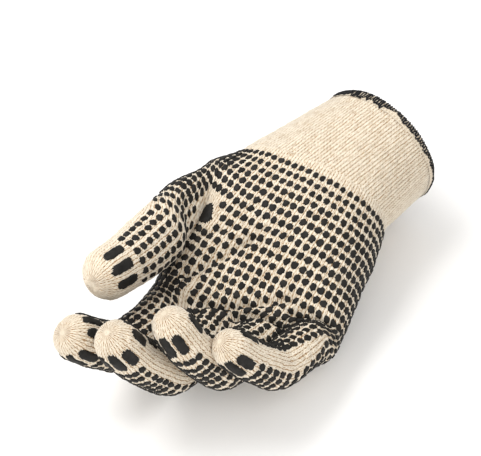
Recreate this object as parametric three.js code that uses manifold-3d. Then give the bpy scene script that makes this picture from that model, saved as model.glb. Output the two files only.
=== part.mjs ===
// A right-hand string-knit work glove with printed PVC grip marks, filled out as on a hand.
// The palm is up, the fingers are curled towards the palm and the cuff is open.
// Units are millimetres and degrees.
// The row frame has its origin at the middle of the cuff's end. +X runs along the cuff towards
// the fingers, +Z is the side that the palm faces and +Y is the little finger's side.
import * as THREE from 'three';
import Module from 'manifold-3d';

// Driving dimensions
const CUFF_LENGTH = 50;
const HEM_WIDTH = 4.5;
const KNIT_WALL = 2;
const CUFF_WALL = 2.4;
const HEM_WALL = 3.2;
const PIECE_GAP = 0.3;
const NEIGHBOUR_GAP = 0.7;
const PVC_THICKNESS = 0.7;
const TIP_RADIUS = 11;
const SIDE_CLEARANCE = 0.45;
const WRIST = { extension: 13, deviation: 12 };
const HEM_ELLIPSE = { halfWidth: 35.5, halfHeight: 31 };

// Resolution of the faceted surfaces
const ACROSS_STEPS = 6;
const STATION_STEP = 8;
const CUFF_SIDES = 48;
const CUFF_STEPS = 4;
const ARC_SAMPLES = 60;
const TIP_STEPS = 4;
const MERGE_DISTANCE = 1e-3;
const OVERRUN = 1;

const FRONT = 1;
const BACK = -1;
const THUMB = 0;
const LAST = 4;
const RADIANS = Math.PI / 180;

// Sections of the glove laid flat. A station is the distance from the cuff towards the fingers.
// radial and ulnar are the thumb side's and the little finger side's edges.
const WRIST_SECTIONS = [
  { at: 0, radial: -46, ulnar: 39.5, front: 31, back: 25, square: 2.3 },
  { at: 24, radial: -58, ulnar: 45, front: 29, back: 23, square: 2.4 },
  { at: 64, radial: -66, ulnar: 47, front: 25, back: 20, square: 2.5 },
];
const PALM_SECTIONS = [
  { at: 0, radial: -32, ulnar: 42, front: 29, back: 25, square: 2.3 },
  { at: 25, radial: -39, ulnar: 46, front: 25, back: 23, square: 2.4 },
  { at: 50, radial: -42, ulnar: 48, front: 19, back: 20, square: 2.7 },
  { at: 75, radial: -46, ulnar: 51, front: 15, back: 18, square: 3 },
  { at: 95, radial: -46, ulnar: 52, front: 12.5, back: 17, square: 3 },
  { at: 130, radial: -42, ulnar: 48, front: 12, back: 12, square: 3 },
];

// Crotches between neighbours, from the thumb's to the little finger's.
// at is the station of the crotch, across its place over the palm, and blend how far before it
// the palm starts to part into two tubes.
const CROTCHES = [
  { at: 64, across: -44, blend: 38 },
  { at: 110, across: -18.5, blend: 24 },
  { at: 110, across: 4.5, blend: 24 },
  { at: 100, across: 26.5, blend: 24 },
];

// Digits. rootY is where the digit's line starts at the cuff, knuckle where it leaves the palm.
// Each joint turns the digit over twice its reach: flex towards the palm, swing sideways, twist
// about the digit. base is the station at which the digit's own tube starts. bars places the grip
// bars across the palm side and the back, and from the tip.
const DIGITS = [
  {
    name: 'thumb', wales: 14, length: 131, base: 66,
    bars: { palm: 0.5, back: 0.5, fromTip: 12.5 },
    rootY: -37, knuckle: { x: 20, y: -43, z: 2 },
    joints: [
      { at: 16, flex: 27.5, swing: -8.6, twist: 10, reach: 15 },
      { at: 70, flex: -8.5, swing: 3.8, twist: -50, reach: 12 },
      { at: 100, flex: -0.7, swing: -7.3, twist: 0, reach: 10 },
    ],
    girth: [
      { at: 0, width: 12, height: 21 }, { at: 35, width: 22, height: 21 },
      { at: 64, width: 15.6, height: 15.6 }, { at: 80, width: 14.9, height: 14.9 },
      { at: 98, width: 14.2, height: 14.1 }, { at: 130, width: 12.3, height: 12.1 },
    ],
  },
  {
    name: 'index_finger', wales: 12, length: 179, base: 112,
    bars: { palm: 0.66, back: 0.6, fromTip: 12.5 },
    rootY: -17, knuckle: { x: 88, y: -29, z: 5 },
    joints: [
      { at: 88, flex: 16.5, swing: -8.5, twist: 21, reach: 10 },
      { at: 133, flex: 43, swing: 0, twist: 0, reach: 10 },
      { at: 159, flex: 5, swing: 0, twist: 0, reach: 8 },
    ],
    girth: [
      { at: 110, width: 12.4, height: 12.4 }, { at: 133, width: 12.4, height: 12.3 },
      { at: 159, width: 11.8, height: 11.7 }, { at: 184, width: 11.2, height: 11.1 },
    ],
  },
  {
    name: 'middle_finger', wales: 12, length: 201, base: 112,
    bars: { palm: 0.66, back: 0.58, fromTip: 12.5 },
    rootY: -1, knuckle: { x: 91, y: -6, z: -4 },
    joints: [
      { at: 91, flex: 32, swing: 0, twist: 22, reach: 10 },
      { at: 141, flex: 37, swing: 0, twist: 0, reach: 10 },
      { at: 171, flex: 13, swing: 0, twist: 0, reach: 8 },
    ],
    girth: [
      { at: 110, width: 11.5, height: 11.8 }, { at: 141, width: 11.8, height: 11.8 },
      { at: 171, width: 11, height: 11 }, { at: 197, width: 10.6, height: 10.6 },
    ],
  },
  {
    name: 'ring_finger', wales: 12, length: 186, base: 112,
    bars: { palm: 0.68, back: 0.45, fromTip: 13 },
    rootY: 15, knuckle: { x: 85, y: 15.5, z: -5 },
    joints: [
      { at: 85, flex: 40, swing: 0.5, twist: 30, reach: 10 },
      { at: 131, flex: 36, swing: 0, twist: 0, reach: 10 },
      { at: 159, flex: 20, swing: 0, twist: 0, reach: 8 },
    ],
    girth: [
      { at: 105, width: 11, height: 11.6 }, { at: 131, width: 11.4, height: 11.4 },
      { at: 159, width: 10.3, height: 10.6 }, { at: 185, width: 9.9, height: 10.2 },
    ],
  },
  {
    name: 'little_finger', wales: 11, length: 160, base: 102,
    bars: { palm: 0.62, back: 0.5, fromTip: 12.5 },
    rootY: 29, knuckle: { x: 76, y: 35, z: -4 },
    joints: [
      { at: 76, flex: 36, swing: 6, twist: 38, reach: 10 },
      { at: 114, flex: 37, swing: 0, twist: 0, reach: 9 },
      { at: 135, flex: 9, swing: 0, twist: 0, reach: 8 },
    ],
    girth: [
      { at: 98, width: 10.4, height: 11.2 }, { at: 114, width: 10.4, height: 10.8 },
      { at: 135, width: 9.9, height: 10.2 }, { at: 158, width: 9.5, height: 9.8 },
    ],
  },
];

// Folds pressed into the palm's front, as lines over the flat palm
const FOLDS = [
  { from: { x: 80, y: -31 }, to: { x: 50, y: -12 }, depth: 2, width: 6 },
  { from: { x: 50, y: -12 }, to: { x: 21, y: -1 }, depth: 1.6, width: 6 },
  { from: { x: 91, y: -14 }, to: { x: 67, y: 22 }, depth: 1.8, width: 4.5 },
  { from: { x: 90, y: 3 }, to: { x: 84, y: 28 }, depth: 2.6, width: 4.5 },
  { from: { x: 73, y: 27 }, to: { x: 69, y: 45 }, depth: 2.2, width: 4.5 },
];

// Height over the palm's edge from which a fold has its full depth
const FOLD_FADE = 10;

// Grip bars of a digit, one row for each bar. aside is from the middle of the three, which the
// digit's bars place across each side, and back how far farther from its tip the bar's middle is.
const GRIP_BARS = [
  { aside: -0.21, back: 1.5, length: 11, width: 4.8 },
  { aside: 0, back: 0, length: 12, width: 4.8 },
  { aside: 0.21, back: 0.5, length: 11, width: 4.8 },
];
const BAR_STEPS = { along: 5, across: 2 };
const THUMB_DROP = { digit: 1, across: 0.29, at: 48.5, length: 10, width: 7.5, lift: 1.1 };

// Small helpers
function smooth(from, to, x) {
  const t = Math.min(Math.max((x - from) / (to - from), 0), 1);
  return t * t * (3 - 2 * t);
}

function mix(a, b, share) {
  return a + (b - a) * share;
}

function lookup(table, column, at) {
  if (at <= table[0].at) {
    return table[0][column];
  }
  for (let i = 1; i < table.length; i += 1) {
    if (at <= table[i].at) {
      const share = (at - table[i - 1].at) / (table[i].at - table[i - 1].at);
      return mix(table[i - 1][column], table[i][column], share);
    }
  }
  return table[table.length - 1][column];
}

// The bent line of a digit: a place and a frame for each millimetre of its length
function digitLine(digit) {
  const { rootY, knuckle, joints, length } = digit;
  const slope = new THREE.Vector3(0, (knuckle.y - rootY) / knuckle.x, knuckle.z / knuckle.x);
  const first = joints[0];
  const place = new THREE.Vector3(0, rootY, 0);
  const line = [];
  for (let station = 0; station <= length + 2; station += 1) {
    const turn = new THREE.Quaternion();
    for (const joint of joints) {
      const share = smooth(joint.at - joint.reach, joint.at + joint.reach, station) * RADIANS;
      turn.multiply(aboutAxis(0, 0, 1, joint.swing * share));
      turn.multiply(aboutAxis(0, 1, 0, -joint.flex * share));
      turn.multiply(aboutAxis(1, 0, 0, joint.twist * share));
    }
    line.push({
      place: place.clone(),
      side: new THREE.Vector3(0, 1, 0).applyQuaternion(turn),
      front: new THREE.Vector3(0, 0, 1).applyQuaternion(turn),
    });
    place.add(new THREE.Vector3(1, 0, 0).applyQuaternion(turn));
    const left = 1 - smooth(first.at - first.reach, first.at + first.reach, station + 0.5);
    place.addScaledVector(slope, left);
  }
  return line;
}

function aboutAxis(x, y, z, angle) {
  return new THREE.Quaternion().setFromAxisAngle(new THREE.Vector3(x, y, z), angle);
}

const LINES = DIGITS.map(digitLine);

// The middle of a digit in the flat glove, which the digit's line bends
function flatMiddle(index, station) {
  const { rootY, knuckle } = DIGITS[index];
  const end = Math.max(...crotchesOf(index).map((crotch) => crotch.at));
  return mix(rootY, knuckle.y, Math.min(station, end) / knuckle.x);
}

function crotchesOf(index) {
  const radial = CROTCHES[Math.max(index - 1, 0)];
  const ulnar = CROTCHES[Math.min(index, CROTCHES.length - 1)];
  return index === 1 ? [ulnar, ulnar] : [radial, ulnar];
}

function bend(index, station, flat) {
  const line = LINES[index];
  const row = Math.min(Math.max(Math.floor(station), 0), line.length - 2);
  const share = station - row;
  const middle = flatMiddle(index, station);
  const side = line[row].side.clone().lerp(line[row + 1].side, share);
  const front = line[row].front.clone().lerp(line[row + 1].front, share);
  const point = line[row].place.clone().lerp(line[row + 1].place, share);
  return point.addScaledVector(side, flat.y - middle).addScaledVector(front, flat.z);
}

// Sections of the wrist and the palm
function sectionPoint(sections, station, side, share, inset) {
  const radial = lookup(sections, 'radial', station) + inset;
  const ulnar = lookup(sections, 'ulnar', station) - inset;
  const height = lookup(sections, side === FRONT ? 'front' : 'back', station) - inset;
  const power = 2 / lookup(sections, 'square', station);
  const half = (ulnar - radial) / 2;
  const points = [];
  let length = 0;
  for (let i = 0; i <= ARC_SAMPLES; i += 1) {
    const angle = Math.PI * (1 - i / ARC_SAMPLES);
    const cosine = Math.cos(angle);
    const y = (radial + ulnar) / 2 + half * Math.sign(cosine) * Math.abs(cosine) ** power;
    const z = side * height * Math.abs(Math.sin(angle)) ** power;
    if (i > 0) {
      length += Math.hypot(y - points[i - 1].y, z - points[i - 1].z);
    }
    points.push({ at: length, y, z });
  }
  return { y: lookup(points, 'y', share * length), z: lookup(points, 'z', share * length) };
}

// A digit's own round tube in the flat glove
function tubePoint(index, station, side, across) {
  const digit = DIGITS[index];
  const middle = flatMiddle(index, station);
  const width = lookup(digit.girth, 'width', station);
  const height = lookup(digit.girth, 'height', station);
  const [radialCrotch, ulnarCrotch] = crotchesOf(index);
  let radial = middle - width;
  let ulnar = middle + width;
  if (index > 1) {
    radial = borderOf(radialCrotch.across, radial, radialCrotch.at, station, SIDE_CLEARANCE);
  } else if (index === 1) {
    radial = borderOf(lookup(PALM_SECTIONS, 'radial', station), radial, ulnarCrotch.at, station, 0);
  }
  if (index === THUMB) {
    const shared = lookup(PALM_SECTIONS, 'radial', station);
    ulnar = borderOf(shared, ulnar, ulnarCrotch.at, station, -SIDE_CLEARANCE);
  } else if (index < LAST) {
    ulnar = borderOf(ulnarCrotch.across, ulnar, ulnarCrotch.at, station, -SIDE_CLEARANCE);
  } else {
    ulnar = borderOf(lookup(PALM_SECTIONS, 'ulnar', station), ulnar, ulnarCrotch.at, station, 0);
  }
  const shrink = tipShrink(digit, station);
  const centre = (radial + ulnar) / 2;
  const half = (ulnar - radial) / 2;
  return {
    y: centre - half * shrink * Math.cos(Math.PI * across),
    z: side * height * shrink * Math.sin(Math.PI * across),
  };
}

// The edge that a tube shares with its neighbour up to the crotch, and its own edge after it
function borderOf(shared, own, crotch, station, clearance) {
  const clear = clearance * smooth(crotch, crotch + 2.5, station);
  return mix(shared + clear, own, smooth(crotch + 2, crotch + 16, station));
}

function tipShrink(digit, station) {
  const run = Math.max(station - digit.length + TIP_RADIUS, 0);
  return Math.sqrt(Math.max(1 - (run / TIP_RADIUS) ** 2, 0));
}

const WALE_TOTAL = DIGITS.reduce((sum, digit) => sum + digit.wales, 0);
const FINGER_WALES = WALE_TOTAL - DIGITS[THUMB].wales;

function waleShare(index, across, total, skipped) {
  let before = -skipped;
  for (let i = 0; i < index; i += 1) {
    before += DIGITS[i].wales;
  }
  return (before + DIGITS[index].wales * across) / total;
}

function foldDepth(station, y) {
  let depth = 0;
  for (const fold of FOLDS) {
    const run = { x: fold.to.x - fold.from.x, y: fold.to.y - fold.from.y };
    const size = run.x ** 2 + run.y ** 2;
    const share = ((station - fold.from.x) * run.x + (y - fold.from.y) * run.y) / size;
    const near = Math.min(Math.max(share, 0), 1);
    const away = Math.hypot(station - fold.from.x - run.x * near, y - fold.from.y - run.y * near);
    depth += fold.depth * Math.exp(-((away / fold.width) ** 2));
  }
  return depth;
}

// The flat glove's surface: one closed section at the wrist, which parts into the thumb and the
// palm, and then into the fingers
function flatPoint(index, side, across, station) {
  const thumbCrotch = CROTCHES[0];
  const parted = smooth(thumbCrotch.at - thumbCrotch.blend, thumbCrotch.at, station);
  const wristShare = waleShare(index, across, WALE_TOTAL, 0);
  const whole = sectionPoint(WRIST_SECTIONS, station, side, wristShare, 0);
  const tube = tubePoint(index, station, side, across);
  if (index === THUMB) {
    return { y: mix(whole.y, tube.y, parted), z: mix(whole.z, tube.z, parted) };
  }
  const palmShare = waleShare(index, across, FINGER_WALES, DIGITS[THUMB].wales);
  const palm = sectionPoint(PALM_SECTIONS, station, side, palmShare, 0);
  if (side === FRONT) {
    palm.z -= foldDepth(station, palm.y) * Math.min(palm.z / FOLD_FADE, 1);
  }
  const hand = { y: mix(whole.y, palm.y, parted), z: mix(whole.z, palm.z, parted) };
  const [radialCrotch, ulnarCrotch] = crotchesOf(index);
  const at = mix(radialCrotch.at, ulnarCrotch.at, across);
  const split = smooth(at - mix(radialCrotch.blend, ulnarCrotch.blend, across), at, station);
  return { y: mix(hand.y, tube.y, split), z: mix(hand.z, tube.z, split) };
}

// The glove as worn: the flat surface bent along its own digit, and near a neighbour along both
function surfacePoint(index, side, across, station) {
  const flat = flatPoint(index, side, across, station);
  const own = bend(index, station, flat);
  const point = own.clone();
  if (index > 0) {
    const reach = index === 1 ? Math.max(1 - across / 0.9, 0) : Math.max(1 - 2 * across, 0);
    const share = 0.5 * reach ** 1.5 * together(CROTCHES[index - 1], station);
    point.addScaledVector(bend(index - 1, station, flat).sub(own), share);
  }
  if (index < LAST) {
    const reach = Math.max(2 * across - 1, 0);
    const share = 0.5 * reach ** 1.5 * together(CROTCHES[index], station);
    point.addScaledVector(bend(index + 1, station, flat).sub(own), share);
  }
  return point;
}

function together(crotch, station) {
  return 1 - smooth(crotch.at, crotch.at + 10, station);
}

// A point over the surface, lifted along its normal
function liftedPoint(index, side, across, station, lift) {
  const point = surfacePoint(index, side, across, station);
  const along = surfacePoint(index, side, across, station + 0.5).sub(point);
  const over = surfacePoint(index, side, across + 0.02, station).sub(point);
  return point.addScaledVector(along.cross(over).normalize(), side * lift);
}

// Meshes. A mesh under construction is a list of triangles of points.
function addQuad(triangles, a, b, c, d) {
  triangles.push([a, b, c], [a, c, d]);
}

function addGrid(triangles, rows, flipped) {
  for (let i = 0; i + 1 < rows.length; i += 1) {
    for (let j = 0; j + 1 < rows[i].length; j += 1) {
      const corners = [rows[i][j], rows[i + 1][j], rows[i + 1][j + 1], rows[i][j + 1]];
      if (flipped) {
        corners.reverse();
      }
      addQuad(triangles, ...corners);
    }
  }
}

// A sheet is a list of points and of faces that number them
function weld(triangles) {
  const points = [];
  const faces = [];
  const seen = new Map();
  const numberOf = (point) => {
    const key = point.toArray().map((value) => Math.round(value / MERGE_DISTANCE)).join();
    if (!seen.has(key)) {
      seen.set(key, points.length);
      points.push(point.clone());
    }
    return seen.get(key);
  };
  for (const triangle of triangles) {
    const face = triangle.map(numberOf);
    if (new Set(face).size === 3) {
      faces.push(face);
    }
  }
  return { points, faces };
}

function movedInwards(sheet, wall) {
  const normals = sheet.points.map(() => new THREE.Vector3());
  for (const face of sheet.faces) {
    const [a, b, c] = face.map((number) => sheet.points[number]);
    const normal = b.clone().sub(a).cross(c.clone().sub(a));
    face.forEach((number) => normals[number].add(normal));
  }
  const points = sheet.points.map((point, i) => point.clone().addScaledVector(normals[i].normalize(), -wall));
  return { points, faces: sheet.faces };
}

// Each opening of a sheet is closed with a fan about its middle
function closed(sheet) {
  const points = [...sheet.points];
  const faces = [...sheet.faces];
  const edges = sheet.faces.flatMap(([a, b, c]) => [[a, b], [b, c], [c, a]]);
  const known = new Set(edges.map((edge) => edge.join()));
  const next = new Map(edges.filter(([a, b]) => !known.has([b, a].join())));
  while (next.size > 0) {
    const loop = [];
    let at = next.keys().next().value;
    while (next.has(at)) {
      loop.push(at);
      const to = next.get(at);
      next.delete(at);
      at = to;
    }
    const middle = new THREE.Vector3();
    loop.forEach((number) => middle.addScaledVector(points[number], 1 / loop.length));
    points.push(middle);
    loop.forEach((number, i) => faces.push([loop[(i + 1) % loop.length], number, points.length - 1]));
  }
  return { points, faces };
}

const wasm = await Module();
wasm.setup();

function toManifold(sheet) {
  return new wasm.Manifold(new wasm.Mesh({
    numProp: 3,
    vertProperties: new Float32Array(sheet.points.flatMap((point) => point.toArray())),
    triVerts: new Uint32Array(sheet.faces.flat()),
  }));
}

function fromManifold(solid) {
  const mesh = solid.getMesh();
  const geometry = new THREE.BufferGeometry();
  geometry.setAttribute('position', new THREE.BufferAttribute(mesh.vertProperties.slice(), 3));
  geometry.setIndex(new THREE.BufferAttribute(mesh.triVerts.slice(), 1));
  geometry.computeVertexNormals();
  return geometry;
}

function evenStations(from, to, step) {
  const count = Math.max(Math.round((to - from) / step), 1);
  return Array.from({ length: count + 1 }, (_, i) => mix(from, to, i / count));
}

function closedTube(rings) {
  const triangles = [];
  addGrid(triangles, rings.map((ring) => [...ring, ring[0]]), false);
  return toManifold(closed(weld(triangles)));
}

function addLobe(triangles, index, stations) {
  for (const side of [FRONT, BACK]) {
    const rows = stations.map((station) => Array.from(
      { length: ACROSS_STEPS + 1 },
      (_, i) => surfacePoint(index, side, i / ACROSS_STEPS, station),
    ));
    addGrid(triangles, rows, side === BACK);
  }
}

// A digit's tube from its base to its closed tip
function digitSheet(index, past) {
  const digit = DIGITS[index];
  const roundFrom = digit.length - TIP_RADIUS;
  const stations = evenStations(digit.base + PIECE_GAP - past, roundFrom, STATION_STEP);
  for (let i = 1; i <= TIP_STEPS; i += 1) {
    stations.push(roundFrom + TIP_RADIUS * Math.sin((i / TIP_STEPS) * Math.PI / 2));
  }
  const triangles = [];
  addLobe(triangles, index, stations);
  return weld(triangles);
}

// A digit's knit wall, kept clear of the palm and of the digit beside it
function digitSolid(index) {
  const inner = movedInwards(digitSheet(index, OVERRUN), KNIT_WALL);
  let solid = toManifold(closed(digitSheet(index, 0))).subtract(toManifold(closed(inner)));
  solid = solid.subtract(toManifold(closed(movedInwards(handSheet(0), -NEIGHBOUR_GAP))));
  if (index > THUMB && index < LAST) {
    const beside = movedInwards(digitSheet(index + 1, 0), -PVC_THICKNESS - NEIGHBOUR_GAP);
    solid = solid.subtract(toManifold(closed(beside)));
  }
  return largestBody(solid);
}

function largestBody(solid) {
  const bodies = solid.decompose();
  return bodies.reduce((best, body) => (body.volume() > best.volume() ? body : best));
}

// The palm and the back as one sheet with an opening at the wrist and at each digit
function handSheet(past) {
  const marks = [-past, ...CROTCHES.map((crotch) => crotch.at), ...DIGITS.map((digit) => digit.base + past)];
  const sorted = [...new Set(marks)].sort((a, b) => a - b);
  const all = [sorted[0]];
  for (let i = 1; i < sorted.length; i += 1) {
    all.push(...evenStations(sorted[i - 1], sorted[i], STATION_STEP).slice(1));
  }
  const triangles = [];
  DIGITS.forEach((digit, index) => {
    addLobe(triangles, index, all.filter((station) => station <= digit.base + past + MERGE_DISTANCE));
  });
  return weld(triangles);
}

function handSolid() {
  const inner = movedInwards(handSheet(OVERRUN), KNIT_WALL);
  return toManifold(closed(handSheet(0))).subtract(toManifold(closed(inner)));
}

// The cuff runs from an ellipse at its open end to the hand's wrist section
const HAND_TURN = new THREE.Matrix4().makeRotationFromEuler(
  new THREE.Euler(0, WRIST.extension * RADIANS, WRIST.deviation * RADIANS, 'ZYX'),
);
HAND_TURN.setPosition(CUFF_LENGTH, 0, 0);

function wristPoint(turn, inset, backOff) {
  const side = turn < 0.5 ? FRONT : BACK;
  const share = turn < 0.5 ? 2 * turn : 2 - 2 * turn;
  const flat = sectionPoint(WRIST_SECTIONS, 0, side, share, inset);
  return new THREE.Vector3(-backOff, flat.y, flat.z).applyMatrix4(HAND_TURN);
}

function hemPoint(turn, inset) {
  const angle = Math.PI * (1 - 2 * turn);
  const width = HEM_ELLIPSE.halfWidth - inset;
  const height = HEM_ELLIPSE.halfHeight - inset;
  return new THREE.Vector3(0, width * Math.cos(angle), height * Math.sin(angle));
}

function cuffPoint(turn, share, inset, backOff) {
  return hemPoint(turn, inset).lerp(wristPoint(turn, inset, backOff), share);
}

function cuffRing(share, inset, backOff) {
  return Array.from({ length: CUFF_SIDES }, (_, i) => cuffPoint(i / CUFF_SIDES, share, inset, backOff));
}

function cuffBand(from, to, outset, wall, steps) {
  const shares = evenStations(from, to, (to - from) / steps);
  const past = 0.01;
  const outer = shares.map((share) => cuffRing(share, -outset, PIECE_GAP));
  const longer = evenStations(from - past, to + past, (to - from) / steps);
  const inner = longer.map((share) => cuffRing(share, wall - outset, PIECE_GAP));
  return closedTube(outer).subtract(closedTube(inner));
}

// PVC prints lie on the knit as thin pads with round ends
function padRows(index, side, bar, lift) {
  const digit = DIGITS[index];
  const rows = [];
  for (let i = 0; i <= BAR_STEPS.along; i += 1) {
    const t = (i / BAR_STEPS.along) * 2 - 1;
    const station = bar.at + (t * bar.length) / 2;
    const girth = Math.PI * lookup(digit.girth, 'width', station);
    const half = ((bar.width / 2) * Math.max(Math.sqrt(1 - t * t), 0.3) * bar.shape(t)) / girth;
    const row = [];
    for (let j = 0; j <= BAR_STEPS.across; j += 1) {
      const across = bar.across + half * ((j / BAR_STEPS.across) * 2 - 1);
      row.push(liftedPoint(index, side, across, station, lift));
    }
    rows.push(row);
  }
  return rows;
}

function padSolid(index, side, bar) {
  const low = padRows(index, side, bar, bar.lift);
  const high = padRows(index, side, bar, bar.lift + PVC_THICKNESS);
  const triangles = [];
  const front = side === FRONT;
  addGrid(triangles, high, !front);
  addGrid(triangles, low, front);
  const edge = (rows) => [
    ...rows[0],
    ...rows.slice(1).map((row) => row[row.length - 1]),
    ...rows[rows.length - 1].slice(0, -1).reverse(),
    ...rows.slice(1, -1).map((row) => row[0]).reverse(),
  ];
  const upper = edge(high);
  const lower = edge(low);
  addGrid(triangles, [[...lower, lower[0]], [...upper, upper[0]]], !front);
  return toManifold(weld(triangles));
}

// Finishes
const KNIT_COLOUR = 0xeee2cd;
const PVC_COLOUR = 0x2d2c2a;
const HEM_COLOUR = 0x1b1b1c;

function knitMaterial() {
  return new THREE.MeshStandardMaterial({ color: KNIT_COLOUR, roughness: 0.95, metalness: 0 });
}

function pvcMaterial() {
  return new THREE.MeshStandardMaterial({ color: PVC_COLOUR, roughness: 0.5, metalness: 0 });
}

function hemMaterial() {
  return new THREE.MeshStandardMaterial({ color: HEM_COLOUR, roughness: 0.9, metalness: 0 });
}

function part(name, solid, material) {
  const mesh = new THREE.Mesh(fromManifold(solid), material);
  mesh.name = name;
  return mesh;
}

// Assembly
function buildHand() {
  const hand = new THREE.Group();
  hand.applyMatrix4(HAND_TURN);
  hand.add(part('hand_body', handSolid(), knitMaterial()));
  DIGITS.forEach((digit, index) => {
    hand.add(part(digit.name, digitSolid(index), knitMaterial()));
    for (const side of [FRONT, BACK]) {
      const sideName = side === FRONT ? 'palm' : 'back';
      GRIP_BARS.forEach((row, number) => {
        const across = digit.bars[sideName] + row.aside;
        const at = digit.length - digit.bars.fromTip - row.back;
        const bar = { ...row, across, at, lift: PIECE_GAP, shape: () => 1 };
        const name = `${digit.name}_${sideName}_bar_${number + 1}`;
        hand.add(part(name, padSolid(index, side, bar), pvcMaterial()));
      });
    }
  });
  const drop = { ...THUMB_DROP, shape: (t) => 1.1 + 0.45 * t };
  hand.add(part('thumb_drop', padSolid(drop.digit, FRONT, drop), pvcMaterial()));
  return hand;
}

function buildCuff() {
  const cuff = new THREE.Group();
  const hemShare = HEM_WIDTH / CUFF_LENGTH;
  const gapShare = PIECE_GAP / CUFF_LENGTH;
  cuff.add(part('knit_cuff', cuffBand(hemShare + gapShare, 1, 0, CUFF_WALL, CUFF_STEPS), knitMaterial()));
  cuff.add(part('overlock_hem', cuffBand(0, hemShare, (HEM_WALL - CUFF_WALL) / 2, HEM_WALL, 1), hemMaterial()));
  return cuff;
}

const glove = new THREE.Group();
glove.add(buildCuff(), buildHand());

export default glove;
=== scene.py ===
"""Looks of a right-hand string-knit work glove with printed PVC dots and bars.

The knit, the prints and the overlocked hem are built on one smooth form of the worn glove. Places
on the form are given in millimetres by a digit, its palm or back side, a share across that side and
a station, the distance from the cuff towards the fingertips.
"""

import logging
import math
from dataclasses import dataclass, field
from enum import Enum

import bpy
import numpy as np
from mathutils import Matrix, Vector

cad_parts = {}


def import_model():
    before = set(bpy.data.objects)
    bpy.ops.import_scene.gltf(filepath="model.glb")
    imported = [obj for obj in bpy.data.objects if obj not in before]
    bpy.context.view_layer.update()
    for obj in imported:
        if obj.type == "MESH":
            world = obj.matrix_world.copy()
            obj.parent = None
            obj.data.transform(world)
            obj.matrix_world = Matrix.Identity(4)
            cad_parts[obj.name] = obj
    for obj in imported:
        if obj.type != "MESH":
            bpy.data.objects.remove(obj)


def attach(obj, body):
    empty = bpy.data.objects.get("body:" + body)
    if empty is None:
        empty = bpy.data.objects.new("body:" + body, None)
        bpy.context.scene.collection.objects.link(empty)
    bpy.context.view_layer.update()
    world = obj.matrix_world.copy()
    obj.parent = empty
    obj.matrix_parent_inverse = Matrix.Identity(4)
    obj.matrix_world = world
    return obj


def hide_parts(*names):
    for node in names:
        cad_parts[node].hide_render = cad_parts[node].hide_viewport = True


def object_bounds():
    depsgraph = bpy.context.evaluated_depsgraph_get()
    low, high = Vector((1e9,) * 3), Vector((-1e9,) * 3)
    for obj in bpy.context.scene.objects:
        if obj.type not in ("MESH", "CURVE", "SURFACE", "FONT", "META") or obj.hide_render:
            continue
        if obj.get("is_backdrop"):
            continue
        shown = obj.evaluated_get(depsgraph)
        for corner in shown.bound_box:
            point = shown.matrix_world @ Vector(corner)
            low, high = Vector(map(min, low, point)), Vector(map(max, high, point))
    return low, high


LOG = logging.getLogger("glove")
MM = 0.001
THUMB = 0
INDEX = 1
LAST = 4
Array = np.ndarray


class Side(Enum):
    """The two sides of the glove when it is laid flat."""

    PALM = 1
    BACK = -1


def smooth(low: float | Array, high: float | Array, x: float | Array) -> float | Array:
    """Returns a smooth step from 0 at low to 1 at high.

    Args:
        low: Where the step starts.
        high: Where the step ends.
        x: The values.

    Returns:
        The step at each value.
    """
    t = np.clip((x - low) / (high - low), 0, 1)
    return t * t * (3 - 2 * t)


def unit(vectors: Array) -> Array:
    """Returns the vectors with length 1."""
    length = np.linalg.norm(vectors, axis=-1, keepdims=True)
    return vectors / np.maximum(length, 1e-9)


def turn_about(axis: str, degrees: float) -> Array:
    """Returns the matrix of a turn about a main axis.

    Args:
        axis: X, Y or Z.
        degrees: The angle of the turn.

    Returns:
        The 3 by 3 matrix.
    """
    return np.array(Matrix.Rotation(math.radians(degrees), 3, axis))


def uneven(points: Array, wave_mm: float, seed: int) -> Array:
    """Returns a gentle random field over space, from -1 to 1.

    Args:
        points: The points in mm.
        wave_mm: The typical distance between two bumps.
        seed: Which field.

    Returns:
        A value for each point.
    """
    waves = 9
    random = np.random.default_rng(seed)
    total = np.zeros(points.shape[:-1])
    for _ in range(waves):
        direction = unit(random.normal(size=3)) * 2 * math.pi / (wave_mm * random.uniform(0.7, 1.5))
        total += np.sin(points @ direction + random.uniform(0, 2 * math.pi))
    return total / (waves / 2)


# ---- the worn form ----


@dataclass(frozen=True)
class Joint:
    """A joint of a digit: its station, its turns in degrees and its reach to each side in mm."""

    at: float
    flex: float
    swing: float
    twist: float
    reach: float


@dataclass(frozen=True)
class Crotch:
    """A crotch between two digits."""

    at: float
    across: float
    blend: float


@dataclass(frozen=True)
class Fold:
    """A fold of the palm, as a line over the flat glove, with sizes in mm.

    The cloth on its far side may stand up as a lip.
    """

    start: tuple[float, float]
    end: tuple[float, float]
    depth: float
    width: float
    lip: float = 0


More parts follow.
